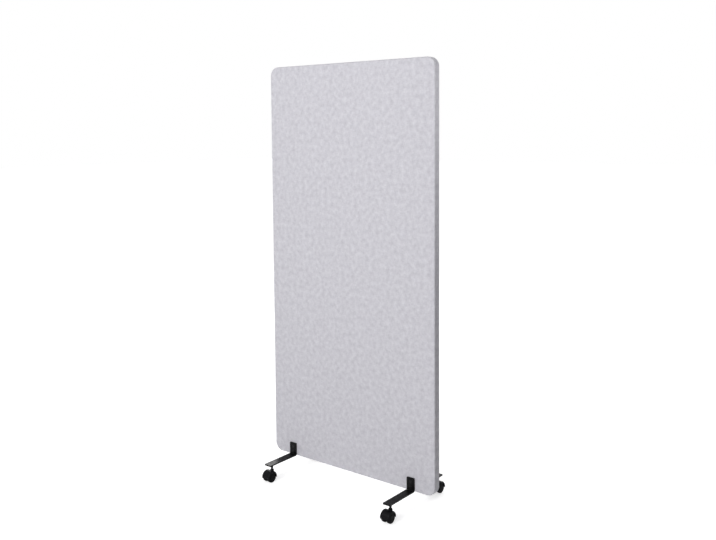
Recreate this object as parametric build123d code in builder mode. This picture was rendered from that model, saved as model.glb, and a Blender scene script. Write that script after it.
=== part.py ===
from build123d import *
import os

# Acoustic divider screen: an upholstered panel that stands on four bent steel brackets,
# each with a hooded twin-wheel caster. Millimetres, +Z up. The origin is on the floor
# under the middle of the panel, the front faces -Y, and the panel's width runs along X.

# Panel
panel_width = 762.0
panel_height = 1524.0
floor_gap = 63.5
corner_radius = 33.0
edge_round = 5.0

# Layers from the middle of the panel outwards
frame_thickness = 20.0
board_thickness = 3.0
padding_thickness = 2.8
cover_thickness = 1.0
layer_clearance = 0.1
edge_padding = 3.0
board_inset_share = 0.75
seam_gap = 0.4
seam_chamfer = 0.5

# Timber frame and its fill
stile_width = 50.0
top_rail_height = 50.0
middle_rail_height = 45.0
bottom_rail_height = 60.0
dowel_radius = 4.0
dowel_length = 40.0
dowel_pitch = 26.0
dowel_clearance = 0.05
core_clearance = 0.5

# Foot brackets, bent from flat bar
foot_inset = 99.0
bar_width = 32.0
bar_thickness = 5.0
bar_reach = 149.0
leaf_rise = 50.0
leaf_clearance = 0.2
bend_radius = 2.0
bar_corner = 2.5

# Connector bolts and sleeve nuts through the foot of the panel
bolt_radius = 3.0
sleeve_radius = 4.0
bolt_head_radius = 6.0
bolt_height = 25.0
bolt_pitch = 20.0
bolt_clearance = 0.2
thread_clearance = 0.05
thread_engagement = 14.0
sleeve_end_gap = 1.0
socket_width = 4.0
socket_depth = 2.0

# Caster stems and the bushes that hold them in the bars
stem_inset = 24.5
stem_radius = 4.0
stem_neck_radius = 3.4
stem_neck_length = 2.5
stem_top_gap = 0.3
flange_width = 10.0
flange_height = 2.5
flange_gap = 0.3
stem_chamfer = 0.8
groove_depth = 0.6
groove_height = 1.2
bush_wall = 0.7
bush_collar_wall = 1.0
bush_collar_gap = 2.1
bush_clearance = 0.05

# Casters
wheel_radius = 20.0
wheel_width = 10.0
wheel_shoulder = 2.5
wheel_inner_round = 1.0
wheel_gap = 0.5
web_thickness = 12.0
hood_gap = 1.4
hood_wall = 2.3
hood_drop = 2.0
trail = 14.0
boss_radius = 7.5
boss_rise = 0.4
boss_round = 1.2
socket_length = 20.0
swivel_clearance = 0.05
pin_end_gap = 0.6
lobe_radius = 8.0
axle_radius = 3.0
axle_clearance = 0.05
axle_press = 0.02
axle_end_gap = 0.3
hub_depth = 6.0
cap_radius = 12.0
cap_rise = 1.5
cap_round = 1.2
recess_inner_radius = 7.0
recess_outer_radius = 16.0
recess_depth = 5.5

# Sizes that follow from the ones above
layer_build_up = board_thickness + padding_thickness + cover_thickness + 2 * layer_clearance
panel_thickness = frame_thickness + 2 * layer_build_up
panel_centre = floor_gap + panel_height / 2

padding_inset = cover_thickness + layer_clearance
frame_inset = padding_inset + edge_padding + layer_clearance
frame_width = panel_width - 2 * frame_inset
frame_height = panel_height - 2 * frame_inset
frame_corner = corner_radius - frame_inset
board_inset = edge_round * board_inset_share
board_width = panel_width - 2 * board_inset
board_height = panel_height - 2 * board_inset
board_corner = corner_radius - board_inset
rail_width = frame_width - 2 * stile_width
top_rail_place = (frame_height - top_rail_height) / 2
bottom_rail_place = -(frame_height - bottom_rail_height) / 2

foot_place = panel_width / 2 - foot_inset
bar_bottom = floor_gap
bar_top = bar_bottom + bar_thickness
leaf_back = panel_thickness / 2 + leaf_clearance
leaf_face = leaf_back + bar_thickness
leaf_top = floor_gap + leaf_rise
bar_tip = panel_thickness / 2 + bar_reach
bolt_centre = floor_gap + bolt_height
sleeve_length = leaf_face + leaf_back - sleeve_end_gap
bolt_length = bar_thickness + sleeve_end_gap + thread_engagement

stem_place = bar_tip - stem_inset
wheel_place = stem_place + trail
hood_radius = wheel_radius + hood_gap + hood_wall
hood_top = wheel_radius + hood_radius
boss_top = hood_top + boss_rise
flange_bottom = boss_top + flange_gap
flange_top = flange_bottom + flange_height
stem_bottom = boss_top - socket_length + pin_end_gap
stem_top = bar_top - stem_top_gap
collar_bottom = flange_top + stem_neck_length + bush_collar_gap
wheel_inner = web_thickness / 2 + wheel_gap
wheel_outer = wheel_inner + wheel_width
hood_half_width = wheel_outer + hood_gap + hood_wall
hood_shoulder = wheel_shoulder + hood_gap + hood_wall
skirt_radius = hood_radius - hood_shoulder
axle_half_length = wheel_inner + hub_depth - axle_end_gap

# The four feet: the side along X, and outwards along Y, which is -1 at the front
feet = {
    "front_left": (-1, -1),
    "front_right": (1, -1),
    "rear_left": (-1, 1),
    "rear_right": (1, 1),
}

os.makedirs("parts", exist_ok=True)


def finish_part(builder, name):
    """Label a finished piece and write it."""
    builder.part.label = name
    export_step(builder.part, f"parts/{name}.step")


def half_plane(outward):
    """The panel's middle plane, facing the front (-1) or the rear (1)."""
    return Plane(origin=(0, 0, panel_centre), x_dir=(-outward, 0, 0), z_dir=(0, outward, 0))


def foot_plane(side, outward):
    """A foot's own plane: local X runs outwards from the panel and local Y runs up."""
    return Plane(
        origin=(side * foot_place, 0, 0), x_dir=(0, outward, 0), z_dir=(outward, 0, 0)
    )


def axle_plane(side, outward):
    """A plane through a caster's axle: local X runs along the axle and local Y runs up."""
    return Plane(
        origin=(side * foot_place, outward * wheel_place, wheel_radius),
        x_dir=(1, 0, 0),
        z_dir=(0, -1, 0),
    )


def stem_plane(side, outward, height):
    """A level plane on a caster's swivel axis."""
    return Plane(origin=(side * foot_place, outward * stem_place, height))


def bolt_planes(outward):
    """The bolts' planes on the outer faces of the leaves, two to each foot."""
    return [
        Plane(
            origin=(side * foot_place, outward * leaf_face, bolt_centre + row * bolt_pitch / 2),
            x_dir=(1, 0, 0),
            z_dir=(0, outward, 0),
        )
        for side in (-1, 1)
        for row in (-1, 1)
    ]


def outermost(shapes, outward):
    """The one of the shapes that lies furthest to the front (-1) or to the rear (1)."""
    return shapes.sort_by(Axis.Y)[-1 if outward > 0 else 0]


def soft_half(outward, inset, start):
    """Half of the panel's soft-edged form, drawn in all round, from start to its face."""
    with BuildPart() as half:
        with BuildSketch(half_plane(outward).offset(start)):
            RectangleRounded(
                panel_width - 2 * inset, panel_height - 2 * inset, corner_radius - inset
            )
        extrude(amount=panel_thickness / 2 - inset - start)
        fillet(outermost(half.faces().filter_by(Axis.Y), outward).edges(), edge_round - inset)
    return half.part


def bolt_drill(radius):
    """Rods through the whole panel on the bolts' axes."""
    with BuildPart() as drill:
        with BuildSketch(*bolt_planes(-1)):
            Circle(radius)
        extrude(amount=-2 * leaf_face)
    return drill.part


def dowel_set(radius, length):
    """Two rods across each joint of the frame."""
    with BuildPart() as rods:
        for side in (-1, 1):
            for place in (bottom_rail_place, 0, top_rail_place):
                joint = Plane(
                    origin=(side * rail_width / 2, 0, panel_centre + place),
                    x_dir=(0, 1, 0),
                    z_dir=(1, 0, 0),
                )
                with Locations(joint):
                    with GridLocations(0, dowel_pitch, 1, 2):
                        Cylinder(radius, length)
    return rods.part


def wheel_wells(side, outward):
    """The space that both wheels turn in, open at the sides inside the hood's skirt."""
    with BuildPart() as wells:
        with BuildSketch(axle_plane(side, outward)) as profile:
            with Locations((web_thickness / 2, 0)):
                Rectangle(
                    hood_half_width - hood_wall - web_thickness / 2,
                    hood_radius - hood_wall,
                    align=(Align.MIN, Align.MIN),
                )
            corner = profile.vertices().sort_by_distance((hood_half_width, hood_radius))[0]
            fillet(corner, radius=hood_shoulder - hood_wall)
            with Locations((web_thickness / 2, 0)):
                Rectangle(hood_half_width, skirt_radius, align=(Align.MIN, Align.MIN))
        revolve(axis=Axis(axle_plane(side, outward).origin, (1, 0, 0)))
        mirror(about=Plane.YZ.offset(side * foot_place))
    return wells.part


sleeve_holes = bolt_drill(sleeve_radius + bolt_clearance)
dowel_holes = dowel_set(dowel_radius + dowel_clearance, dowel_length + 2 * dowel_clearance)

# Timber frame: two stiles with rounded outer corners
for name, side in (("left_stile", -1), ("right_stile", 1)):
    with BuildPart() as stile:
        with BuildSketch(half_plane(-1)):
            RectangleRounded(frame_width, frame_height, frame_corner)
            with Locations((side * (frame_width - stile_width) / 2, 0)):
                Rectangle(stile_width, frame_height, mode=Mode.INTERSECT)
        extrude(amount=frame_thickness / 2, both=True)
        add(dowel_holes, mode=Mode.SUBTRACT)
    finish_part(stile, name)

# Three rails between the stiles, the lowest one drilled for the sleeve nuts
rails = {
    "top_rail": (top_rail_place, top_rail_height),
    "middle_rail": (0, middle_rail_height),
    "bottom_rail": (bottom_rail_place, bottom_rail_height),
}
for name, (place, height) in rails.items():
    with BuildPart() as rail:
        with BuildSketch(half_plane(-1)):
            with Locations((0, place)):
                Rectangle(rail_width, height)
        extrude(amount=frame_thickness / 2, both=True)
        add(dowel_holes, mode=Mode.SUBTRACT)
        if name == "bottom_rail":
            add(sleeve_holes, mode=Mode.SUBTRACT)
    finish_part(rail, name)

# Glued dowels, two in each joint of the frame
with BuildPart() as dowels:
    add(dowel_set(dowel_radius, dowel_length))
finish_part(dowels, "frame_dowels")

# Sound-absorbing slabs that fill the two bays of the frame
upper_bay_top = top_rail_place - top_rail_height / 2
lower_bay_bottom = bottom_rail_place + bottom_rail_height / 2
bays = {
    "upper_core": (middle_rail_height / 2, upper_bay_top),
    "lower_core": (lower_bay_bottom, -middle_rail_height / 2),
}
for name, (low, high) in bays.items():
    with BuildPart() as core:
        with BuildSketch(half_plane(-1)):
            with Locations((0, (low + high) / 2)):
                Rectangle(rail_width - 2 * core_clearance, high - low - 2 * core_clearance)
        extrude(amount=frame_thickness / 2, both=True)
    finish_part(core, name)

# On each face a felt board, then padding that wraps the edge, then the cover
for face_name, outward in (("front", -1), ("rear", 1)):
    middle = half_plane(outward)

    with BuildPart() as board:
        with BuildSketch(middle.offset(frame_thickness / 2)):
            RectangleRounded(board_width, board_height, board_corner)
        extrude(amount=board_thickness)
        add(sleeve_holes, mode=Mode.SUBTRACT)
    finish_part(board, f"{face_name}_felt_board")

    with BuildPart() as padding:
        add(soft_half(outward, padding_inset, 0))
        with BuildSketch(middle):
            RectangleRounded(
                frame_width + 2 * layer_clearance,
                frame_height + 2 * layer_clearance,
                frame_corner + layer_clearance,
            )
        extrude(amount=frame_thickness / 2 + layer_clearance, mode=Mode.SUBTRACT)
        with BuildSketch(middle):
            RectangleRounded(
                board_width + 2 * layer_clearance,
                board_height + 2 * layer_clearance,
                board_corner + layer_clearance,
            )
        extrude(
            amount=frame_thickness / 2 + board_thickness + layer_clearance, mode=Mode.SUBTRACT
        )
        add(sleeve_holes, mode=Mode.SUBTRACT)
    finish_part(padding, f"{face_name}_padding")

    cavity = soft_half(outward, cover_thickness, 0)
    with BuildPart() as cover:
        add(soft_half(outward, 0, seam_gap / 2))
        seam = outermost(cover.faces().filter_by(Axis.Y), -outward)
        chamfer(seam.edges(), length=seam_chamfer)
        add(cavity, mode=Mode.SUBTRACT)
        add(sleeve_holes, mode=Mode.SUBTRACT)
    finish_part(cover, f"{face_name}_cover")

# Brackets: one flat bar, bent up into a leaf against the panel's face
for foot, (side, outward) in feet.items():
    with BuildPart() as bracket:
        with BuildSketch(foot_plane(side, outward)) as profile:
            with BuildLine():
                Polyline(
                    (leaf_back, bar_bottom),
                    (leaf_back, leaf_top),
                    (leaf_face, leaf_top),
                    (leaf_face, bar_top),
                    (bar_tip, bar_top),
                    (bar_tip, bar_bottom),
                    close=True,
                )
            make_face()
            inside_bend = profile.vertices().sort_by_distance((leaf_face, bar_top))[0]
            fillet(inside_bend, radius=bend_radius)
            outside_bend = profile.vertices().sort_by_distance((leaf_back, bar_bottom))[0]
            fillet(outside_bend, radius=bend_radius + bar_thickness)
        extrude(amount=bar_width / 2, both=True)
        leaf_corners = bracket.edges().filter_by(Axis.Y).group_by(Axis.Z)[-1]
        fillet(leaf_corners, radius=bar_corner)
        tip_edges = bracket.edges().filter_by(Axis.Z).group_by(Axis.Y)
        fillet(tip_edges[-1 if outward > 0 else 0], radius=bar_corner)
        shank = bolt_radius if outward < 0 else sleeve_radius
        with Locations(*bolt_planes(outward)):
            CounterSinkHole(
                radius=shank + bolt_clearance,
                counter_sink_radius=bolt_head_radius + bolt_clearance,
                depth=bar_thickness,
                counter_sink_angle=90,
            )
        with Locations(stem_plane(side, outward, bar_top)):
            Hole(radius=stem_radius + bush_wall + bush_clearance, depth=bar_thickness)
    finish_part(bracket, f"{foot}_bracket")

# Flush connector bolts from the front, with a hexagon socket in each head
with BuildPart() as bolts:
    with Locations(*bolt_planes(-1)):
        Cone(
            bolt_radius,
            bolt_head_radius,
            bolt_head_radius - bolt_radius,
            align=(Align.CENTER, Align.CENTER, Align.MAX),
        )
        Cylinder(bolt_radius, bolt_length, align=(Align.CENTER, Align.CENTER, Align.MAX))
    with BuildSketch(*bolt_planes(-1)):
        RegularPolygon(socket_width / 2, side_count=6, major_radius=False)
    extrude(amount=-socket_depth, mode=Mode.SUBTRACT)
finish_part(bolts, "connector_bolts")

# Sleeve nuts from the rear, which the bolts screw into
with BuildPart() as sleeves:
    with Locations(*bolt_planes(1)):
        Cone(
            sleeve_radius,
            bolt_head_radius,
            bolt_head_radius - sleeve_radius,
            align=(Align.CENTER, Align.CENTER, Align.MAX),
        )
        Cylinder(sleeve_radius, sleeve_length, align=(Align.CENTER, Align.CENTER, Align.MAX))
    with BuildSketch(*bolt_planes(1)):
        RegularPolygon(socket_width / 2, side_count=6, major_radius=False)
    extrude(amount=-socket_depth, mode=Mode.SUBTRACT)
    with BuildSketch(*[plane.offset(-sleeve_length) for plane in bolt_planes(1)]):
        Circle(bolt_radius + thread_clearance)
    extrude(amount=thread_engagement + sleeve_end_gap, mode=Mode.SUBTRACT)
finish_part(sleeves, "sleeve_nuts")

# Bushes pressed up into the bars, with a collar that ends above the stem's neck
with BuildPart() as bushes:
    for side, outward in feet.values():
        with BuildSketch(stem_plane(side, outward, bar_bottom)):
            Circle(stem_radius + bush_collar_wall)
        extrude(amount=collar_bottom - bar_bottom)
        with BuildSketch(stem_plane(side, outward, bar_bottom)):
            Circle(stem_radius + bush_wall)
        extrude(amount=bar_thickness)
        with BuildSketch(stem_plane(side, outward, bar_top)):
            Circle(stem_radius + thread_clearance)
        extrude(amount=collar_bottom - bar_top, mode=Mode.SUBTRACT)
finish_part(bushes, "stem_bushes")

for foot, (side, outward) in feet.items():
    wheel_axis = Axis(axle_plane(side, outward).origin, (1, 0, 0))

    # Stem: threaded top, neck, hexagon flange, and the pin that the caster swivels on
    with BuildPart() as stem:
        with BuildSketch(stem_plane(side, outward, flange_top + stem_neck_length)):
            Circle(stem_radius)
        extrude(amount=stem_top - flange_top - stem_neck_length)
        chamfer(stem.faces().sort_by(Axis.Z)[-1].edges(), length=stem_chamfer)
        with BuildSketch(stem_plane(side, outward, flange_top)):
            Circle(stem_neck_radius)
        extrude(amount=stem_neck_length)
        with BuildSketch(stem_plane(side, outward, flange_bottom)):
            RegularPolygon(flange_width / 2, side_count=6, major_radius=False)
        extrude(amount=flange_height)
        with BuildSketch(stem_plane(side, outward, stem_bottom)):
            Circle(stem_radius)
        extrude(amount=flange_bottom - stem_bottom)
        chamfer(stem.faces().sort_by(Axis.Z)[0].edges(), length=stem_chamfer)
        with BuildSketch(stem_plane(side, outward, stem_bottom + 2 * groove_height)):
            Circle(stem_radius)
            Circle(stem_radius - groove_depth, mode=Mode.SUBTRACT)
        extrude(amount=groove_height, mode=Mode.SUBTRACT)
    finish_part(stem, f"{foot}_stem")

    # Housing: a central web with a hood over both wheels and a boss for the stem
    wells = wheel_wells(side, outward)
    with BuildPart() as housing:
        with BuildSketch(axle_plane(side, outward)) as dome:
            Rectangle(2 * hood_half_width, hood_radius, align=(Align.CENTER, Align.MIN))
            fillet(dome.vertices().group_by(Axis.Y)[-1], radius=hood_shoulder)
        revolve(axis=wheel_axis)
        split(bisect_by=Plane.XY.offset(wheel_radius - hood_drop), keep=Keep.TOP)
        with BuildSketch(stem_plane(side, outward, wheel_radius)):
            Circle(boss_radius)
        extrude(amount=boss_top - wheel_radius)
        fillet(housing.faces().sort_by(Axis.Z)[-1].edges(), radius=boss_round)
        add(wells, mode=Mode.SUBTRACT)
        with BuildSketch(Plane.YZ.offset(side * foot_place)):
            with Locations((outward * wheel_place, wheel_radius)):
                Circle(lobe_radius)
        extrude(amount=web_thickness / 2, both=True)
        with BuildSketch(Plane.YZ.offset(side * foot_place)):
            with Locations((outward * wheel_place, wheel_radius)):
                Circle(axle_radius + axle_press)
        extrude(amount=web_thickness, both=True, mode=Mode.SUBTRACT)
        with BuildSketch(stem_plane(side, outward, boss_top)):
            Circle(stem_radius + swivel_clearance)
        extrude(amount=-socket_length, mode=Mode.SUBTRACT)
    finish_part(housing, f"{foot}_caster_housing")

    with BuildPart() as axle:
        with BuildSketch(Plane.YZ.offset(side * foot_place)):
            with Locations((outward * wheel_place, wheel_radius)):
                Circle(axle_radius)
        extrude(amount=axle_half_length, both=True)
        ends = axle.edges().filter_by(GeomType.CIRCLE)
        chamfer(ends, length=axle_end_gap)
    finish_part(axle, f"{foot}_axle")

    # Wheels: a round-shouldered tread, a raised hub cap and a blind hub on the axle
    for wheel_name, wheel_side in (("outer_wheel", side), ("inner_wheel", -side)):
        with BuildPart() as wheel:
            with BuildSketch(axle_plane(side, outward)) as section:
                with Locations((wheel_inner, 0)):
                    Rectangle(wheel_width, wheel_radius, align=(Align.MIN, Align.MIN))
                for place, round_over in (
                    (wheel_outer, wheel_shoulder),
                    (wheel_inner, wheel_inner_round),
                ):
                    rim_corner = section.vertices().sort_by_distance((place, wheel_radius))[0]
                    fillet(rim_corner, radius=round_over)
                with Locations((wheel_outer, 0)):
                    Rectangle(cap_rise, cap_radius, align=(Align.MIN, Align.MIN))
                cap_corner = section.vertices().sort_by_distance(
                    (wheel_outer + cap_rise, cap_radius)
                )[0]
                fillet(cap_corner, radius=cap_round)
                with Locations((wheel_inner, 0)):
                    Rectangle(
                        hub_depth,
                        axle_radius + axle_clearance,
                        align=(Align.MIN, Align.MIN),
                        mode=Mode.SUBTRACT,
                    )
                with Locations((wheel_inner, recess_inner_radius)):
                    Rectangle(
                        recess_depth,
                        recess_outer_radius - recess_inner_radius,
                        align=(Align.MIN, Align.MIN),
                        mode=Mode.SUBTRACT,
                    )
            revolve(axis=wheel_axis)
            if wheel_side < 0:
                mirror(about=Plane.YZ.offset(side * foot_place))
                split(bisect_by=Plane.YZ.offset(side * foot_place), keep=Keep.BOTTOM)
        finish_part(wheel, f"{foot}_{wheel_name}")
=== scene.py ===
"""Dresses the acoustic divider screen: stretched cloth covers, powder-coated feet and moulded casters.

Everything is in metres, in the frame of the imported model: +Z up, the front faces -Y,
and the origin is on the floor under the middle of the panel.
"""

import math

import bmesh
import bpy
from mathutils import Matrix, Vector, noise


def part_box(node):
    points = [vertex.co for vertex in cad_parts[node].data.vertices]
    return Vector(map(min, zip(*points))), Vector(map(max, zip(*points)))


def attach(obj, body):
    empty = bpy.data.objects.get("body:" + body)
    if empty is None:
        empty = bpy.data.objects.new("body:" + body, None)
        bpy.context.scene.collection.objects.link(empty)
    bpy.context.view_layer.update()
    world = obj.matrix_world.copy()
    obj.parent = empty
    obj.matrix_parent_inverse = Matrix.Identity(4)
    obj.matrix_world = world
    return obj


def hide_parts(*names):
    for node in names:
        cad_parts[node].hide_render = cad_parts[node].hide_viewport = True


bl_info = {
    "name": "Acoustic divider screen",
    "version": (1, 0, 0),
    "blender": (4, 5, 0),
    "location": "View3D > Sidebar > Screen",
    "description": "Cloth covers, powder-coated feet and moulded casters for a divider screen",
    "category": "Object",
}

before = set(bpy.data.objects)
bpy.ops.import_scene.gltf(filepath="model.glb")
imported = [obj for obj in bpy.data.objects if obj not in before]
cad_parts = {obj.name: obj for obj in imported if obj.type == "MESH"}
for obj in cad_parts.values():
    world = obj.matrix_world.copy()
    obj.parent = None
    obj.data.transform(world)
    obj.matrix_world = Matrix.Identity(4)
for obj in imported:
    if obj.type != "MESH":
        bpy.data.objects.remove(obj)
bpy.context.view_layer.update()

MM = 0.001
FEET = ("front_left", "front_right", "rear_left", "rear_right")

# The panel's own box, from its covers
panel_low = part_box("front_cover")[0]
panel_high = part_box("rear_cover")[1]

# A Mix node's colour sockets share their names with its other ones, so they go by number
COLOUR_A = 6
COLOUR_B = 7
COLOUR_RESULT = 2


# Settings that a user would change


class CoverSettings(bpy.types.PropertyGroup):
    """Sizes and colours of the stretched cloth covers."""

    corner: bpy.props.FloatProperty(
        name="Corner radius", description="Outline radius of the panel", default=33 * MM, unit="LENGTH"
    )
    edge: bpy.props.FloatProperty(
        name="Edge round", description="Round from the side into the face", default=5 * MM, unit="LENGTH"
    )
    crown: bpy.props.FloatProperty(
        name="Crown", description="How far the face falls towards its edge", default=0.5 * MM, unit="LENGTH"
    )
    cloth: bpy.props.FloatProperty(
        name="Cloth thickness", description="Thickness of the woven cloth", default=1 * MM, unit="LENGTH"
    )
    yarn: bpy.props.FloatProperty(
        name="Yarn spacing",
        description="Distance from yarn to yarn as drawn",
        default=1.2 * MM,
        unit="LENGTH",
    )
    light: bpy.props.StringProperty(name="Light yarn", description="sRGB colour", default="#DBDAE0")
    dark: bpy.props.StringProperty(name="Dark yarn", description="sRGB colour", default="#C1BFC7")
    thread: bpy.props.StringProperty(name="Seam thread", description="sRGB colour", default="#A9A8AF")


class HardwareSettings(bpy.types.PropertyGroup):
    """Sizes and colours of the feet and casters."""

    bar_round: bpy.props.FloatProperty(
        name="Bar edge", description="Rounding of the bar's edges", default=0.5 * MM, unit="LENGTH"
    )
    housing_round: bpy.props.FloatProperty(
        name="Housing edge", description="Rounding of the housing's edges", default=0.45 * MM, unit="LENGTH"
    )
    pitch: bpy.props.FloatProperty(
        name="Thread pitch", description="Pitch of the stem's thread", default=1.25 * MM, unit="LENGTH"
    )
    coat: bpy.props.StringProperty(name="Powder coat", description="sRGB colour", default="#0C0C0D")
    nylon: bpy.props.StringProperty(name="Housing nylon", description="sRGB colour", default="#09090C")
    tread: bpy.props.StringProperty(name="Wheel nylon", description="sRGB colour", default="#09090B")


class StageSettings(bpy.types.PropertyGroup):
    """Where the camera stands and how it looks at the screen."""

    place: bpy.props.FloatVectorProperty(
        name="Camera place",
        description="Where the camera stands",
        default=(1.9547, -2.4208, 1.333),
        subtype="TRANSLATION",
    )
    yaw: bpy.props.FloatProperty(
        name="Yaw", description="To the left", default=math.radians(38.376), subtype="ANGLE"
    )
    pitch: bpy.props.FloatProperty(
        name="Pitch", description="Downwards", default=math.radians(4.363), subtype="ANGLE"
    )
    roll: bpy.props.FloatProperty(
        name="Roll", description="Clockwise", default=math.radians(0.415), subtype="ANGLE"
    )
    lens: bpy.props.FloatProperty(
        name="Lens", description="Focal length on the sensor's width", default=42.64, unit="CAMERA"
    )
    sensor: bpy.props.FloatProperty(
        name="Sensor", description="Width of the sensor", default=36, unit="CAMERA"
    )
    rise: bpy.props.FloatProperty(
        name="Rise", description="Vertical shift of the frame", default=-0.1014
    )


# Small helpers


def linear(text):
    """A material colour from an sRGB hex value."""
    parts = [int(text[i : i + 2], 16) / 255 for i in (1, 3, 5)]
    return (*[c / 12.92 if c <= 0.04045 else ((c + 0.055) / 1.055) ** 2.4 for c in parts], 1.0)


def node(tree, kind, inputs=None, **settings):
    """Add one node, set its plain settings, and link or set its inputs."""
    made = tree.nodes.new(kind)
    for key, value in settings.items():
        setattr(made, key, value)
    for key, value in (inputs or {}).items():
        if isinstance(value, bpy.types.NodeSocket):
            tree.links.new(value, made.inputs[key])
        else:
            made.inputs[key].default_value = value
    return made


def new_material(name, **constants):
    """A material with a Principled shader, and its constants set on the shader's own sockets."""
    made = bpy.data.materials.new(name)
    made.use_nodes = True
    shader = made.node_tree.nodes["Principled BSDF"]
    for key, value in constants.items():
        shader.inputs[key.replace("_", " ")].default_value = value
    return made, made.node_tree, shader


def new_object(name, mesh, material, body, replaced=()):
    """Link a finished mesh as a piece that rides on a body and stands for CAD nodes."""
    made = bpy.data.objects.new(name, mesh)
    bpy.context.scene.collection.objects.link(made)
    if material is not None:
        made.data.materials.clear()
        made.data.materials.append(material)
    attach(made, body)
    if replaced:
        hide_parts(*replaced)
    return made


def dress(name, material):
    """Give a CAD node one material."""
    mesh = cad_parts[name].data
    mesh.materials.clear()
    mesh.materials.append(material)


def plain_mesh(made):
    """The evaluated mesh of an object, with the object itself removed."""
    depsgraph = bpy.context.evaluated_depsgraph_get()
    mesh = bpy.data.meshes.new_from_object(made.evaluated_get(depsgraph), depsgraph=depsgraph)
    bpy.data.objects.remove(made)
    return mesh


def mesh_from(name, points, faces, smooth_angle):
    """A mesh from points and faces, shaded smooth up to an angle."""
    mesh = bpy.data.meshes.new(name)
    mesh.from_pydata(points, [], faces)
    mesh.update()
    mesh.shade_smooth()
    mesh.set_sharp_from_angle(angle=smooth_angle)
    return mesh


def arc(centre, radius, start, end, steps):
    """Points of an arc in a plane, angles in degrees, ends included."""
    turn = [math.radians(start + (end - start) * i / steps) for i in range(steps + 1)]
    return [(centre[0] + radius * math.cos(a), centre[1] + radius * math.sin(a)) for a in turn]


def ring_faces(rings, count):
    """The faces between closed rings that follow one another, each of the same count of points."""
    faces = []
    for ring in range(rings - 1):
        here, after = ring * count, (ring + 1) * count
        for i in range(count):
            j = (i + 1) % count
            faces.append((here + i, here + j, after + j, after + i))
    return faces


# Materials

# The wave texture's turn, in radians, along one unit of its coordinate
WAVE_TURN = 20
# The mixed fibres of the cloth: how thick and long one shows, and the size of a cloudy patch
FIBRE_THICKNESS = 2.4 * MM
FIBRE_LENGTH = 14 * MM
CLOUD_WIDTH = 16 * MM
CLOUD_HEIGHT = 17 * MM
# Faint wear of a plain finish: its patches in grains, and how much shinier and duller they get
WEAR_GRAINS = 25
WEAR_SHINE = 0.05
WEAR_DULLNESS = 0.07
# A growth ring of the pine across and along the grain
RING_WIDTH = 4 * MM
RING_LENGTH = 90 * MM


def woven_polyester(settings):
    """Plain-woven melange polyester: matt, a soft sheen at grazing angles, light and dark yarns mixed.

    The yarns and fibres are drawn coarser than real ones, so that they show in the render.
    """
    made, tree, shader = new_material(
        "woven_polyester_melange", Roughness=0.88, Sheen_Weight=0.12, Sheen_Roughness=0.5, IOR=1.45
    )
    uv = node(tree, "ShaderNodeUVMap", uv_map="flat_cloth").outputs["UV"]

    # Yarns pass over and under each other: a wave along each direction, swapped by a chequer
    def yarn_wave(direction):
        return node(
            tree,
            "ShaderNodeTexWave",
            {"Vector": uv, "Scale": math.tau / WAVE_TURN / (2 * settings.yarn)},
            bands_direction=direction,
            wave_profile="SIN",
        ).outputs["Fac"]

    over = node(
        tree,
        "ShaderNodeTexChecker",
        {"Vector": uv, "Scale": 1 / settings.yarn, "Color1": (1, 1, 1, 1), "Color2": (0, 0, 0, 1)},
    ).outputs["Fac"]
    weave = node(
        tree, "ShaderNodeMix", {"Factor": over, "A": yarn_wave("X"), "B": yarn_wave("Y")}
    ).outputs["Result"]

    def mottle(width, height, seed):
        """Noise with blots of a size in metres, across and up the cloth."""
        place = node(
            tree,
            "ShaderNodeMapping",
            {"Vector": uv, "Scale": (1 / width, 1 / height, 1), "Location": (seed, 0, 0)},
        ).outputs["Vector"]
        return node(
            tree, "ShaderNodeTexNoise", {"Vector": place, "Scale": 1.0, "Detail": 2.0}
        ).outputs["Fac"]

    # The mixed fibres run with the yarns, and over both lie faint clouds of lighter and darker yarn
    warp = mottle(FIBRE_THICKNESS, FIBRE_LENGTH, seed=0)
    weft = mottle(FIBRE_LENGTH, FIBRE_THICKNESS, seed=5)
    clouds = mottle(CLOUD_WIDTH, CLOUD_HEIGHT, seed=9)
    fibres = node(tree, "ShaderNodeMix", {"Factor": 0.5, "A": warp, "B": weft}).outputs["Result"]
    mixed = node(tree, "ShaderNodeMix", {"Factor": 0.5, "A": fibres, "B": clouds}).outputs["Result"]
    melange = node(
        tree, "ShaderNodeMapRange", {"Value": mixed, "From Min": 0.34, "From Max": 0.66}
    ).outputs["Result"]
    yarns = node(
        tree,
        "ShaderNodeMix",
        {"Factor": melange, COLOUR_A: linear(settings.dark), COLOUR_B: linear(settings.light)},
        data_type="RGBA",
    ).outputs[COLOUR_RESULT]
    bump = node(
        tree, "ShaderNodeBump", {"Height": weave, "Strength": 0.5, "Distance": 0.2 * MM}
    ).outputs["Normal"]
    tree.links.new(yarns, shader.inputs["Base Color"])
    tree.links.new(bump, shader.inputs["Normal"])
    return made


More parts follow.
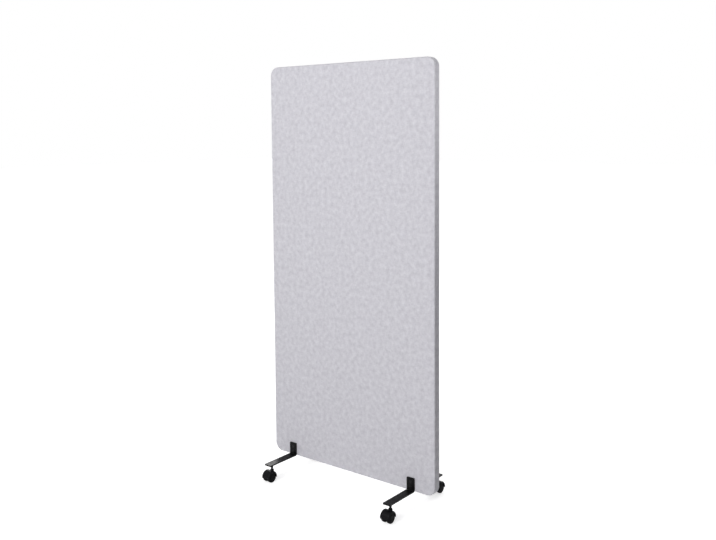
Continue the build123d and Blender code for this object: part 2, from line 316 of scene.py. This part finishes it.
def grained(name, colour, grain, depth, spread=0.06, **constants):
    """A finish with one colour, a fine grain in its surface, and faint wear in its colour and shine.

    The grain has a size and a depth in metres, and the wear spreads the colour by a share of it.
    """
    made, tree, shader = new_material(name, **constants)
    place = node(tree, "ShaderNodeTexCoord").outputs["Object"]
    fine = node(
        tree, "ShaderNodeTexNoise", {"Vector": place, "Scale": 1 / grain, "Detail": 3.0}
    ).outputs["Fac"]
    worn = node(
        tree, "ShaderNodeTexNoise", {"Vector": place, "Scale": 1 / (WEAR_GRAINS * grain), "Detail": 2.0}
    ).outputs["Fac"]
    level = node(
        tree,
        "ShaderNodeMapRange",
        {"Value": worn, "From Min": 0.3, "From Max": 0.7, "To Min": 1 - spread, "To Max": 1 + spread},
    ).outputs["Result"]
    scaled = node(
        tree, "ShaderNodeVectorMath", {0: linear(colour)[:3], "Scale": level}, operation="SCALE"
    ).outputs["Vector"]
    base = shader.inputs["Roughness"].default_value
    rough = node(
        tree,
        "ShaderNodeMapRange",
        {"Value": worn, "To Min": base - WEAR_SHINE, "To Max": base + WEAR_DULLNESS},
    ).outputs["Result"]
    bump = node(
        tree, "ShaderNodeBump", {"Height": fine, "Strength": 0.4, "Distance": depth}
    ).outputs["Normal"]
    tree.links.new(scaled, shader.inputs["Base Color"])
    tree.links.new(rough, shader.inputs["Roughness"])
    tree.links.new(bump, shader.inputs["Normal"])
    return made


def satin_powder_coat(settings):
    """Polyester powder baked on steel: an even satin black, highlights softened by a faint orange peel."""
    return grained(
        "satin_powder_coat",
        settings.coat,
        grain=1.1 * MM,
        depth=0.06 * MM,
        Roughness=0.3,
        IOR=1.5,
        Specular_IOR_Level=0.08,
    )


def black_oxide_steel():
    """Turned steel in a black oxide bath: near black, with dull metal highlights on threads and edges."""
    return grained(
        "black_oxide_steel", "#202022", grain=0.5 * MM, depth=0.02 * MM, Roughness=0.38, Metallic=0.85
    )


def drawn_steel():
    """Bright drawn bar: the axles' light grey ends, with fine marks of the die."""
    return grained(
        "drawn_steel", "#B9BBBE", grain=0.4 * MM, depth=0.01 * MM, Roughness=0.28, Metallic=1.0
    )


def moulded_nylon(settings):
    """Glass-filled nylon from an eroded mould: deep black with a low, fine-grained sheen."""
    return grained(
        "moulded_nylon",
        settings.nylon,
        grain=0.7 * MM,
        depth=0.03 * MM,
        Roughness=0.36,
        IOR=1.53,
        Specular_IOR_Level=0.08,
    )


def wheel_nylon(settings):
    """Hard nylon of the wheels: as black as the housing, and duller where it rolls."""
    return grained(
        "wheel_nylon",
        settings.tread,
        grain=0.9 * MM,
        depth=0.03 * MM,
        Roughness=0.5,
        IOR=1.53,
        Specular_IOR_Level=0.05,
    )


def spun_thread(settings):
    """Spun polyester sewing thread: matt, a shade darker than the cloth it closes."""
    return grained("polyester_thread", settings.thread, grain=0.4 * MM, depth=0.05 * MM, Roughness=0.7)


def carded_wadding():
    """Carded polyester wadding: off-white and matt, with loose tufts."""
    return grained(
        "polyester_wadding", "#DCDCD8", grain=4 * MM, depth=0.8 * MM, spread=0.05, Roughness=0.95
    )


def needled_felt():
    """Needled felt board: mid grey, pressed flat, with a short nap."""
    return grained(
        "needled_felt", "#6F7073", grain=2.5 * MM, depth=0.4 * MM, spread=0.12, Roughness=0.95
    )


def fibre_absorber():
    """Bonded fibre slab: pale, matt and coarse, with a lumpy surface."""
    return grained(
        "fibre_absorber", "#CFCFCB", grain=6 * MM, depth=1.2 * MM, spread=0.08, Roughness=0.97
    )


def planed_softwood():
    """Planed pine, satin: light and dark growth rings drawn out along the stiles' length."""
    made, tree, shader = new_material("planed_softwood", Roughness=0.6)
    place = node(tree, "ShaderNodeTexCoord").outputs["Object"]
    stretched = node(
        tree,
        "ShaderNodeMapping",
        {"Vector": place, "Scale": (1 / RING_WIDTH, 1 / RING_WIDTH, 1 / RING_LENGTH)},
    ).outputs["Vector"]
    rings = node(
        tree,
        "ShaderNodeTexNoise",
        {"Vector": stretched, "Scale": 1.0, "Detail": 4.0, "Distortion": 0.6},
    ).outputs["Fac"]
    colour = node(
        tree,
        "ShaderNodeMix",
        {"Factor": rings, COLOUR_A: linear("#B98F5E"), COLOUR_B: linear("#E0C293")},
        data_type="RGBA",
    ).outputs[COLOUR_RESULT]
    bump = node(
        tree, "ShaderNodeBump", {"Height": rings, "Strength": 0.2, "Distance": 0.1 * MM}
    ).outputs["Normal"]
    tree.links.new(colour, shader.inputs["Base Color"])
    tree.links.new(bump, shader.inputs["Normal"])
    return made


# Cloth covers

# The cloth's face lies this much inside the panel's box, so that its waves stay inside it
FACE_SLACK = 0.25 * MM
# The wadding stays clear of the cloth, the frame and the board by this much
LAYER_GAP = 0.1 * MM
# The net of faces: its cell on the face, and its steps round the outline's corners
NET_CELL = 8 * MM
NET_CORNER_STEPS = 14
# The section's steps round the turned-in cloth, round the edge and over the face's margin
ROLL_STEPS = 5
EDGE_STEPS = 9
MARGIN_STEPS = 10

# The turned-in cloth at the seam: its radius, its half of the gap, and how deep it reaches in
ROLL_RADIUS = 1.3 * MM
SEAM_HALF_GAP = 0.15 * MM
TURN_IN = 2.6 * MM
TURN_IN_MIDDLE = 1.9 * MM
# The wadding starts this much further from the seam's middle than the cloth is thick, with a bevel
WADDING_START = 0.35 * MM
WADDING_BEVEL = 0.4 * MM
# Where points lie on the straight side, as shares of the way from the seam to the edge's round
CLOTH_SIDE_SHARES = (0.35, 0.7)
WADDING_SIDE_SHARES = (0.0, 0.7)

# Slight waves of the stretched cloth: height, number to a metre across and up, and layer of the noise
WAVES = (
    (0.16 * MM, 5, 4, 1.7),
    (0.05 * MM, 17, 13, 8.2),
)
# The waves fade in over one edge round, from this share of it inwards
WAVE_START_SHARE = 0.6
# Faint gathers round the corners: their depth, and how many waves a full turn would hold
GATHER_DEPTH = 0.22 * MM
GATHER_WAVES = 52
# Shares of the half thickness: where the gathers are deepest, and how far they fade each way
GATHER_PLACE_SHARE = 0.62
GATHER_FADE_SHARE = 0.3

# The seam line: how far it lies inside the panel's edge, its cell, and its steps round a corner
SEAM_DEPTH = 0.55 * MM
SEAM_CELL = 20 * MM
SEAM_CORNER_STEPS = 10


def outline(corner, cell, arc_steps):
    """The panel's outline, and the numbers of cells along and up.

    Each point is (base, outward normal), where the base lies one corner radius inside.
    """
    left, right = panel_low.x + corner, panel_high.x - corner
    bottom, top = panel_low.z + corner, panel_high.z - corner
    columns, rows = round((right - left) / cell), round((top - bottom) / cell)
    made = []
    sides = [
        ((left, bottom), (right, bottom), columns, -90),
        ((right, bottom), (right, top), rows, 0),
        ((right, top), (left, top), columns, 90),
        ((left, top), (left, bottom), rows, 180),
    ]
    for start, end, count, angle in sides:
        a = math.radians(angle)
        for i in range(count + 1):
            t = i / count
            base = (start[0] + (end[0] - start[0]) * t, start[1] + (end[1] - start[1]) * t)
            made.append((base, (math.cos(a), math.sin(a))))
        for k in range(1, arc_steps):
            b = a + math.radians(90) * k / arc_steps
            made.append((end, (math.cos(b), math.sin(b))))
    return made, columns, rows


def soft_profile(settings, skin):
    """A soft layer's section from the seam round onto the face, a skin's depth inside.

    Each point is (inset from the panel's edge, depth from the seam's middle).
    """
    half, r, crown = panel_high.y - FACE_SLACK, settings.edge, settings.crown
    side_top = half - crown - r
    if skin:
        edge = settings.cloth + WADDING_START
        points = [(skin + WADDING_BEVEL, edge)]
        start = edge + WADDING_BEVEL
        shares = WADDING_SIDE_SHARES
    else:
        # The cloth is turned in at the seam
        points = [(TURN_IN, SEAM_HALF_GAP), (TURN_IN_MIDDLE, SEAM_HALF_GAP)]
        start = SEAM_HALF_GAP + ROLL_RADIUS
        points += arc((ROLL_RADIUS, start), ROLL_RADIUS, 270, 180, ROLL_STEPS)
        shares = CLOTH_SIDE_SHARES
    points += [(skin, start + (side_top - start) * t) for t in shares]
    points += arc((r, side_top), r - skin, 180, 90, EDGE_STEPS)
    for i in range(1, MARGIN_STEPS):
        t = i / MARGIN_STEPS
        fall = crown * (1 - t * t * (3 - 2 * t))
        points.append((r + (settings.corner - r) * t, half - skin - fall))
    return points


def unevenness(x, z):
    """How far the cloth stands out or in at a place on the panel, in metres."""
    return sum(
        height * noise.noise(Vector((x * across, z * up, layer))) for height, across, up, layer in WAVES
    )


def gather(normal, depth):
    """How far the cloth draws in between its faint gathers where it turns the panel's corners."""
    turn = math.atan2(normal[1], normal[0])
    from_middle = (depth / panel_high.y - GATHER_PLACE_SHARE) / GATHER_FADE_SHARE
    on_edge = math.exp(-(from_middle**2))
    return GATHER_DEPTH * abs(math.sin(2 * turn) * on_edge * math.sin(turn * GATHER_WAVES))


def shell(settings, profile, face_depth, outward, soft):
    """A skin over one half of the panel: rings for a section's points, then a grid over the face.

    Gives its points, their places on the flat cloth, its faces, and the count of points in a ring.
    """
    loop, columns, rows = outline(settings.corner, NET_CELL, NET_CORNER_STEPS)
    left, bottom = panel_low.x + settings.corner, panel_low.z + settings.corner
    cell_x = (panel_high.x - panel_low.x - 2 * settings.corner) / columns
    cell_z = (panel_high.z - panel_low.z - 2 * settings.corner) / rows
    count = len(loop)
    points, flats = [], []

    # The rings, each as far from the face on the flat cloth as it is along the section
    lengths = [0.0]
    for a, b in zip(profile, profile[1:] + [(settings.corner, face_depth)]):
        lengths.append(lengths[-1] + math.dist(a, b))
    for (inset, depth), run in zip(profile, lengths):
        flat = lengths[-1] - run
        for (bx, bz), (nx, nz) in loop:
            out = settings.corner - inset
            place = depth
            if soft:
                out -= gather((nx, nz), depth)
                on_face = min(1.0, max(0.0, inset / settings.edge - WAVE_START_SHARE))
                place += unevenness(bx + nx * out, bz + nz * out) * on_face
            points.append((bx + nx * out, outward * place, bz + nz * out))
            flats.append((bx + nx * flat, bz + nz * flat))
    faces = ring_faces(len(profile), count)

    # The grid over the face
    grid = len(points)
    for row in range(rows + 1):
        for column in range(columns + 1):
            x, z = left + column * cell_x, bottom + row * cell_z
            points.append((x, outward * (face_depth + (unevenness(x, z) if soft else 0)), z))
            flats.append((x, z))
    for row in range(rows):
        for column in range(columns):
            a = grid + row * (columns + 1) + column
            faces.append((a, a + 1, a + columns + 2, a + columns + 1))

    def grid_index(base):
        column, row = round((base[0] - left) / cell_x), round((base[1] - bottom) / cell_z)
        return grid + row * (columns + 1) + column

    # The last ring joins the grid's margin, where a corner's points share one grid point
    last = (len(profile) - 1) * count
    for i in range(count):
        j = (i + 1) % count
        a, b = grid_index(loop[i][0]), grid_index(loop[j][0])
        faces.append((last + i, last + j, b, a) if a != b else (last + i, last + j, a))
    if outward > 0:
        faces = [tuple(reversed(f)) for f in faces]
    return points, flats, faces, count


def cloth_mesh(settings, outward):
    """One cover, before its thickness, with its flat cloth as UVs."""
    points, flats, faces, _ = shell(
        settings, soft_profile(settings, 0), panel_high.y - FACE_SLACK, outward, soft=True
    )
    mesh = mesh_from("cover", points, faces, smooth_angle=math.radians(180))
    layer = mesh.uv_layers.new(name="flat_cloth")
    for loop_corner in mesh.loops:
        layer.data[loop_corner.index].uv = flats[loop_corner.vertex_index]
    return mesh


def padding_mesh(settings, outward):
    """The wadding of one half: soft outside, and shaped to the frame and the felt board inside."""
    skin = settings.cloth + LAYER_GAP
    points, _, faces, count = shell(
        settings, soft_profile(settings, skin), panel_high.y - FACE_SLACK - skin, outward, soft=True
    )
    board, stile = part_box("rear_felt_board"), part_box("right_stile")
    beside_frame = panel_high.x - stile[1].x - LAYER_GAP
    beside_board = panel_high.x - board[1].x - LAYER_GAP
    on_frame = stile[1].y + LAYER_GAP
    on_board = board[1].y + LAYER_GAP
    inner_profile = [
        (beside_frame, settings.cloth + WADDING_START),
        (beside_frame, on_frame),
        (beside_board, on_frame),
        (beside_board, on_board),
    ]
    inner_points, _, inner_faces, _ = shell(settings, inner_profile, on_board, outward, soft=False)
    offset = len(points)
    faces += [tuple(reversed([i + offset for i in f])) for f in inner_faces]
    for i in range(count):
        j = (i + 1) % count
        rim = (i, offset + i, offset + j, j)
        faces.append(rim if outward < 0 else tuple(reversed(rim)))
    return mesh_from("padding", points + inner_points, faces, smooth_angle=math.radians(40))


def stitch_tree():
    """A node tree that lays small bars of thread along a line of edges."""
    tree = bpy.data.node_groups.new("stitches_along_line", "GeometryNodeTree")
    for name, kind, value in (
        ("Geometry", "NodeSocketGeometry", None),
        ("Spacing", "NodeSocketFloat", 7 * MM),
        ("Thread", "NodeSocketFloat", 0.35 * MM),
        ("Span", "NodeSocketFloat", 1.5 * MM),
        ("Lean", "NodeSocketFloat", 0.35),
        ("Finish", "NodeSocketMaterial", None),
    ):
        socket = tree.interface.new_socket(name, in_out="INPUT", socket_type=kind)
        if value is not None:
            socket.default_value = value
    tree.interface.new_socket("Geometry", in_out="OUTPUT", socket_type="NodeSocketGeometry")
    given = node(tree, "NodeGroupInput").outputs
    curve = node(tree, "GeometryNodeMeshToCurve", {"Mesh": given["Geometry"]}).outputs["Curve"]
    spaced = node(
        tree, "GeometryNodeResampleCurve", {"Curve": curve, "Length": given["Spacing"]}, mode="LENGTH"
    ).outputs["Curve"]

    # One bar is a ball drawn out to the thread's radius and half the stitch's length
    ball = node(
        tree, "GeometryNodeMeshUVSphere", {"Segments": 8, "Rings": 6, "Radius": 1.0}
    ).outputs["Mesh"]
    size = node(
        tree, "ShaderNodeCombineXYZ", {"X": given["Thread"], "Y": given["Thread"], "Z": given["Span"]}
    ).outputs["Vector"]
    bar = node(tree, "GeometryNodeTransform", {"Geometry": ball, "Scale": size}).outputs["Geometry"]

    # A bar lies across the seam, leaning a little along it as a slip stitch does
    along = node(tree, "GeometryNodeInputTangent").outputs["Tangent"]
    lean = node(
        tree, "ShaderNodeVectorMath", {0: along, "Scale": given["Lean"]}, operation="SCALE"
    ).outputs["Vector"]
    heading = node(
        tree, "ShaderNodeVectorMath", {0: lean, 1: (0, 1, 0)}, operation="ADD"
    ).outputs["Vector"]
    turned = node(
        tree, "FunctionNodeAlignRotationToVector", {"Vector": heading}, axis="Z"
    ).outputs["Rotation"]
    placed = node(
        tree, "GeometryNodeInstanceOnPoints", {"Points": spaced, "Instance": bar, "Rotation": turned}
    ).outputs["Instances"]
    solid = node(tree, "GeometryNodeRealizeInstances", {"Geometry": placed}).outputs["Geometry"]
    finished = node(
        tree, "GeometryNodeSetMaterial", {"Geometry": solid, "Material": given["Finish"]}
    ).outputs["Geometry"]
    node(tree, "NodeGroupOutput", {"Geometry": finished})
    return tree


def seam_stitches(settings):
    """Small bars of thread across the seam, laid along the panel's outline by a node tree."""
    loop = outline(settings.corner, SEAM_CELL, SEAM_CORNER_STEPS)[0]
    out = settings.corner - SEAM_DEPTH
    ring = [(bx + nx * out, 0, bz + nz * out) for (bx, bz), (nx, nz) in loop]
    line = bpy.data.meshes.new("seam_line")
    line.from_pydata(ring, [(i, (i + 1) % len(ring)) for i in range(len(ring))], [])
    made = bpy.data.objects.new("seam_line", line)
    bpy.context.scene.collection.objects.link(made)

    tree = stitch_tree()
    modifier = made.modifiers.new("Stitches", "NODES")
    modifier.node_group = tree
    finish = next(s for s in tree.interface.items_tree if s.name == "Finish")
    modifier[finish.identifier] = spun_thread(settings)
    mesh = plain_mesh(made)
    mesh.shade_smooth()
    return new_object("seam_stitches", mesh, None, "screen")


class DIVIDER_OT_covers(bpy.types.Operator):
    """Lay the wadding, stretch the two cloth covers over it and sew them along the edge"""

    bl_idname = "divider.covers"
    bl_label = "Cloth covers"

    def execute(self, context):
        settings = context.scene.divider_cover
        cloth = woven_polyester(settings)
        wadding = carded_wadding()
        for name, outward in (("front", -1), ("rear", 1)):
            padding = new_object(
                f"{name}_padding_wadding",
                padding_mesh(settings, outward),
                wadding,
                "screen",
                [f"{name}_padding"],
            )
            form = bpy.data.objects.new("cover_form", cloth_mesh(settings, outward))
            context.scene.collection.objects.link(form)
            solid = form.modifiers.new("Solidify", "SOLIDIFY")
            solid.thickness, solid.offset = settings.cloth, -1
            solid.use_rim = True
            cover = new_object(
                f"{name}_cover_cloth", plain_mesh(form), cloth, "screen", [f"{name}_cover"]
            )
        seam_stitches(settings)
        return {"FINISHED"}


# Feet

# Points of a CAD mesh this close are one, and faces that meet within this angle are one flat
MERGE_DISTANCE = 0.002 * MM
FLAT_ANGLE = math.radians(0.5)
# Edges sharper than this are rounded, in this many steps
ROUND_FROM = math.radians(30)
ROUND_STEPS = 2

# The stem's sizes that its box doesn't give, as in the CAD
PIN_RADIUS = 4 * MM
PIN_LENGTH = 19.7 * MM
PIN_CHAMFER = 0.8 * MM
GROOVE_HEIGHT = 1.2 * MM
GROOVE_DEPTH = 0.6 * MM
FLANGE_THICKNESS = 2.5 * MM
NECK_RADIUS = 3.4 * MM
NECK_LENGTH = 2.5 * MM
# The hexagon's corners are cut back by this much, over this height
CORNER_CUT = 0.5 * MM
CORNER_CUT_HEIGHT = 0.4 * MM
# The thread: its depth, how much steeper than an even V its flanks are, and its run-out at the top
THREAD_DEPTH = 0.68 * MM
FLANK_STEEPNESS = 1.15
RUN_OUT_DEPTH = 0.5 * MM
RUN_OUT_HEIGHT = 0.3 * MM
# Points round the stem, and rings to one pitch of its thread
STEM_POINTS = 36
RINGS_PER_PITCH = 8


def rounded_copy(source, width):
    """A merged copy of a CAD node's mesh with its edges rounded over."""
    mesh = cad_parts[source].data.copy()
    work = bmesh.new()
    work.from_mesh(mesh)
    bmesh.ops.remove_doubles(work, verts=work.verts, dist=MERGE_DISTANCE)
    bmesh.ops.dissolve_limit(work, angle_limit=FLAT_ANGLE, verts=work.verts, edges=work.edges)
    work.to_mesh(mesh)
    work.free()
    mesh.shade_smooth()
    made = bpy.data.objects.new("rounding", mesh)
    bpy.context.scene.collection.objects.link(made)
    bevel = made.modifiers.new("Bevel", "BEVEL")
    bevel.width, bevel.segments = width, ROUND_STEPS
    bevel.limit_method, bevel.angle_limit = "ANGLE", ROUND_FROM
    bevel.miter_outer = "MITER_ARC"
    # The large flat faces keep their own direction, and only the rounded edges turn
    weighted = made.modifiers.new("Flat faces", "WEIGHTED_NORMAL")
    weighted.weight = 100
    return plain_mesh(made)


def stem_mesh(foot, pitch):
    """A stem in one closed skin: pin, hexagon flange, neck and a thread cut as a helix."""
    low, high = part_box(f"{foot}_stem")
    cx, cy = (low.x + high.x) / 2, (low.y + high.y) / 2
    # The hexagon's flats face along Y, so the box gives the distance across them
    half_flats = (high.y - low.y) / 2
    half_side_angle = math.radians(30)
    corner = half_flats / math.cos(half_side_angle)
    flange_bottom = low.z + PIN_LENGTH
    flange_top = flange_bottom + FLANGE_THICKNESS
    thread_bottom = flange_top + NECK_LENGTH

    def round_ring(z, r):
        return [(z, r)] * STEM_POINTS

    def hexagon_ring(z, most):
        ring = []
        for i in range(STEM_POINTS):
            turn = math.tau * i / STEM_POINTS + half_side_angle
            off = turn % (2 * half_side_angle) - half_side_angle
            ring.append((z, min(most, half_flats / math.cos(off))))
        return ring

    # The pin, with its chamfer and its groove
    groove_bottom = low.z + 2 * GROOVE_HEIGHT
    groove_top = groove_bottom + GROOVE_HEIGHT
    rings = [
        round_ring(low.z, PIN_RADIUS - PIN_CHAMFER),
        round_ring(low.z + PIN_CHAMFER, PIN_RADIUS),
        round_ring(groove_bottom, PIN_RADIUS),
        round_ring(groove_bottom, PIN_RADIUS - GROOVE_DEPTH),
        round_ring(groove_top, PIN_RADIUS - GROOVE_DEPTH),
        round_ring(groove_top, PIN_RADIUS),
    ]
    # The flange and the neck
    rings += [
        round_ring(flange_bottom, PIN_RADIUS),
        hexagon_ring(flange_bottom, corner - CORNER_CUT),
        hexagon_ring(flange_bottom + CORNER_CUT_HEIGHT, corner),
        hexagon_ring(flange_top - CORNER_CUT_HEIGHT, corner),
        hexagon_ring(flange_top, corner - CORNER_CUT),
        round_ring(flange_top, NECK_RADIUS),
        round_ring(thread_bottom, NECK_RADIUS),
    ]
    # The thread, and its plain end
    step = pitch / RINGS_PER_PITCH
    for k in range(int((high.z - thread_bottom) / step)):
        z = thread_bottom + k * step
        ring = []
        for i in range(STEM_POINTS):
            phase = (z / pitch - i / STEM_POINTS) % 1
            cut = min(1, abs(2 * phase - 1) * FLANK_STEEPNESS)
            ring.append((z, PIN_RADIUS - THREAD_DEPTH * cut))
        rings.append(ring)
    rings += [
        round_ring(high.z - RUN_OUT_HEIGHT, PIN_RADIUS - RUN_OUT_DEPTH),
        round_ring(high.z, PIN_RADIUS - PIN_CHAMFER),
    ]

    points = []
    for ring in rings:
        for i, (z, r) in enumerate(ring):
            a = math.tau * i / STEM_POINTS + half_side_angle
            points.append((cx + r * math.cos(a), cy + r * math.sin(a), z))
    faces = ring_faces(len(rings), STEM_POINTS)
    faces.append(tuple(reversed(range(STEM_POINTS))))
    faces.append(tuple(range(len(points) - STEM_POINTS, len(points))))
    return mesh_from("stem", points, faces, smooth_angle=math.radians(35))


class DIVIDER_OT_feet(bpy.types.Operator):
    """Powder-coat the brackets and cut the threads of the stems"""

    bl_idname = "divider.feet"
    bl_label = "Feet"

    def execute(self, context):
        settings = context.scene.divider_hardware
        coat, oxide = satin_powder_coat(settings), black_oxide_steel()
        for foot in FEET:
            new_object(
                f"{foot}_bracket_coated",
                rounded_copy(f"{foot}_bracket", settings.bar_round),
                coat,
                "screen",
                [f"{foot}_bracket"],
            )
            new_object(
                f"{foot}_stem_threaded",
                stem_mesh(foot, settings.pitch),
                oxide,
                "screen",
                [f"{foot}_stem"],
            )
        for name in ("connector_bolts", "sleeve_nuts", "stem_bushes"):
            dress(name, oxide)
        return {"FINISHED"}


# Casters


class DIVIDER_OT_casters(bpy.types.Operator):
    """Mould the hooded housings and finish the twin wheels and their axles"""

    bl_idname = "divider.casters"
    bl_label = "Casters"

    def execute(self, context):
        settings = context.scene.divider_hardware
        hood, tread, steel = moulded_nylon(settings), wheel_nylon(settings), drawn_steel()
        for foot in FEET:
            dress(f"{foot}_axle", steel)
            new_object(
                f"{foot}_housing_moulded",
                rounded_copy(f"{foot}_caster_housing", settings.housing_round),
                hood,
                f"{foot}_caster",
                [f"{foot}_caster_housing"],
            )
            for wheel in ("outer_wheel", "inner_wheel"):
                dress(f"{foot}_{wheel}", tread)
        return {"FINISHED"}


# Inside


class DIVIDER_OT_inside(bpy.types.Operator):
    """Finish the frame, the felt boards and the fill inside the covers"""

    bl_idname = "divider.inside"
    bl_label = "Inside"

    def execute(self, context):
        pine, felt, fill = planed_softwood(), needled_felt(), fibre_absorber()
        for name in ("left_stile", "right_stile", "top_rail", "middle_rail", "bottom_rail", "frame_dowels"):
            dress(name, pine)
        for side in ("front", "rear"):
            dress(f"{side}_felt_board", felt)
        for name in ("upper_core", "lower_core"):
            dress(name, fill)
        return {"FINISHED"}


# Stage

# Half the side of the floor
FLOOR_HALF = 30
# The floor's glow: near the screen the lamps help to make the floor white, and further off,
# where they reach less well, it glows more
GLOW_NEAR = 0.64
GLOW_FAR = 1.0
GLOW_NEAR_DISTANCE = 0.8
GLOW_FAR_DISTANCE = 4.0
# The world's strength as light on the object, and as the background behind it
WORLD_LIGHT = 0.05
WORLD_SEEN = 1.0

WHITE = (1, 1, 1, 1)

# A point a little above the panel's middle, which the large lamps aim at
PANEL_AIM = (0, 0, 0.9)
# Each lamp's place, aim, width and height, and power in watts. The keys and the low fill light the
# front evenly, the edge lamp the side that the camera sees, the back lamp the rear, and the rim
# lamp the front left foot from behind.
LAMPS = {
    "left_key": ((-1.1, -3.4, 3.0), PANEL_AIM, (2.0, 2.4), 42),
    "right_key": ((0.4, -3.5, 3.0), PANEL_AIM, (2.0, 2.4), 61),
    "low_fill": ((0.5, -3.7, 1.5), PANEL_AIM, (1.6, 1.6), 34),
    "edge": ((1.0, 0.1, 1.55), (0.38, 0, 1.4), (0.3, 0.3), 2.05),
    "back": ((-0.4, 3.5, 2.6), PANEL_AIM, (2.4, 2.4), 100),
    "rim": ((-2.3, 1.9, 1.2), (-0.28, -0.1, 0.06), (0.8, 0.8), 9),
}


def area_lamp(name, place, aim, size, power):
    """A soft lamp aimed at a point."""
    data = bpy.data.lights.new(name, "AREA")
    data.shape = "RECTANGLE"
    data.size, data.size_y = size
    data.energy = power
    made = bpy.data.objects.new(name, data)
    bpy.context.scene.collection.objects.link(made)
    made.location = place
    made.rotation_euler = (Vector(aim) - Vector(place)).to_track_quat("-Z", "Y").to_euler()


def seen_directly(tree):
    """1 for what the camera sees, also in a mirror or through glass, and 0 for what lights the object."""
    path = node(tree, "ShaderNodeLightPath").outputs
    either = node(
        tree, "ShaderNodeMath", {0: path["Is Camera Ray"], 1: path["Is Glossy Ray"]}, operation="MAXIMUM"
    ).outputs[0]
    return node(
        tree, "ShaderNodeMath", {0: either, 1: path["Is Transmission Ray"]}, operation="MAXIMUM"
    ).outputs[0]


def pale_floor():
    """A wide matt floor that keeps the object's shadow and is white around it."""
    h = FLOOR_HALF
    mesh = bpy.data.meshes.new("floor")
    mesh.from_pydata([(-h, -h, 0), (h, -h, 0), (h, h, 0), (-h, h, 0)], [], [(0, 1, 2, 3)])
    floor = bpy.data.objects.new("floor", mesh)
    bpy.context.scene.collection.objects.link(floor)
    paint, tree, shader = new_material("pale_floor", Roughness=0.9)
    shader.inputs["Base Color"].default_value = linear("#E4E4E4")
    shader.inputs["Emission Color"].default_value = WHITE
    place = node(tree, "ShaderNodeTexCoord").outputs["Object"]
    away = node(tree, "ShaderNodeVectorMath", {0: place}, operation="LENGTH").outputs["Value"]
    level = node(
        tree,
        "ShaderNodeMapRange",
        {
            "Value": away,
            "From Min": GLOW_NEAR_DISTANCE,
            "From Max": GLOW_FAR_DISTANCE,
            "To Min": GLOW_NEAR,
            "To Max": GLOW_FAR,
        },
    ).outputs["Result"]
    glow = node(
        tree, "ShaderNodeMath", {0: seen_directly(tree), 1: level}, operation="MULTIPLY"
    ).outputs[0]
    tree.links.new(glow, shader.inputs["Emission Strength"])
    mesh.materials.append(paint)
    return floor


def studio_world():
    """A world that is white behind the object and lights it only a little."""
    world = bpy.data.worlds.new("studio")
    world.use_nodes = True
    tree = world.node_tree
    background = tree.nodes["Background"]
    background.inputs["Color"].default_value = WHITE
    strength = node(
        tree, "ShaderNodeMix", {"Factor": seen_directly(tree), "A": WORLD_LIGHT, "B": WORLD_SEEN}
    ).outputs["Result"]
    tree.links.new(strength, background.inputs["Strength"])
    return world


def screen_camera(settings):
    """The camera, placed, turned and shifted as its settings say."""
    camera = bpy.data.objects.new("camera", bpy.data.cameras.new("camera"))
    bpy.context.scene.collection.objects.link(camera)
    camera.data.sensor_width = settings.sensor
    camera.data.lens = settings.lens
    camera.data.shift_y = settings.rise
    turn = (
        Matrix.Rotation(settings.yaw, 4, "Z")
        @ Matrix.Rotation(math.radians(90) - settings.pitch, 4, "X")
        @ Matrix.Rotation(-settings.roll, 4, "Z")
    )
    camera.matrix_world = Matrix.Translation(settings.place) @ turn
    return camera


class DIVIDER_OT_stage(bpy.types.Operator):
    """Set the pale floor, the soft studio light and the camera"""

    bl_idname = "divider.stage"
    bl_label = "Stage"

    def execute(self, context):
        scene = context.scene
        floor = pale_floor()
        scene.world = studio_world()
        for name, lamp in LAMPS.items():
            area_lamp(name, *lamp)
        scene.camera = screen_camera(scene.divider_stage)
        scene.view_settings.view_transform = "Standard"
        return {"FINISHED"}


class DIVIDER_PT_panel(bpy.types.Panel):
    """Lists the steps that dress the screen, and their settings."""

    bl_label = "Divider screen"
    bl_space_type = "VIEW_3D"
    bl_region_type = "UI"
    bl_category = "Screen"

    def draw(self, context):
        for step in STEPS:
            self.layout.operator(step.bl_idname)
        for group in SETTINGS:
            settings = getattr(context.scene, group)
            for key in settings.bl_rna.properties.keys():
                if key not in ("rna_type", "name"):
                    self.layout.prop(settings, key)


SETTINGS = {
    "divider_cover": CoverSettings,
    "divider_hardware": HardwareSettings,
    "divider_stage": StageSettings,
}
STEPS = (DIVIDER_OT_covers, DIVIDER_OT_feet, DIVIDER_OT_casters, DIVIDER_OT_inside, DIVIDER_OT_stage)


def register():
    """Register the settings, the steps and the panel."""
    for made in (*SETTINGS.values(), *STEPS, DIVIDER_PT_panel):
        bpy.utils.register_class(made)
    for name, group in SETTINGS.items():
        setattr(bpy.types.Scene, name, bpy.props.PointerProperty(type=group))


def unregister():
    """Take the settings, the steps and the panel out again."""
    for name in SETTINGS:
        delattr(bpy.types.Scene, name)
    for made in (DIVIDER_PT_panel, *reversed(STEPS), *SETTINGS.values()):
        bpy.utils.unregister_class(made)


def main():
    """Dress the frame step by step."""
    register()
    bpy.ops.divider.covers()
    bpy.ops.divider.feet()
    bpy.ops.divider.casters()
    bpy.ops.divider.inside()
    bpy.ops.divider.stage()


if __name__ == "__main__":
    main()
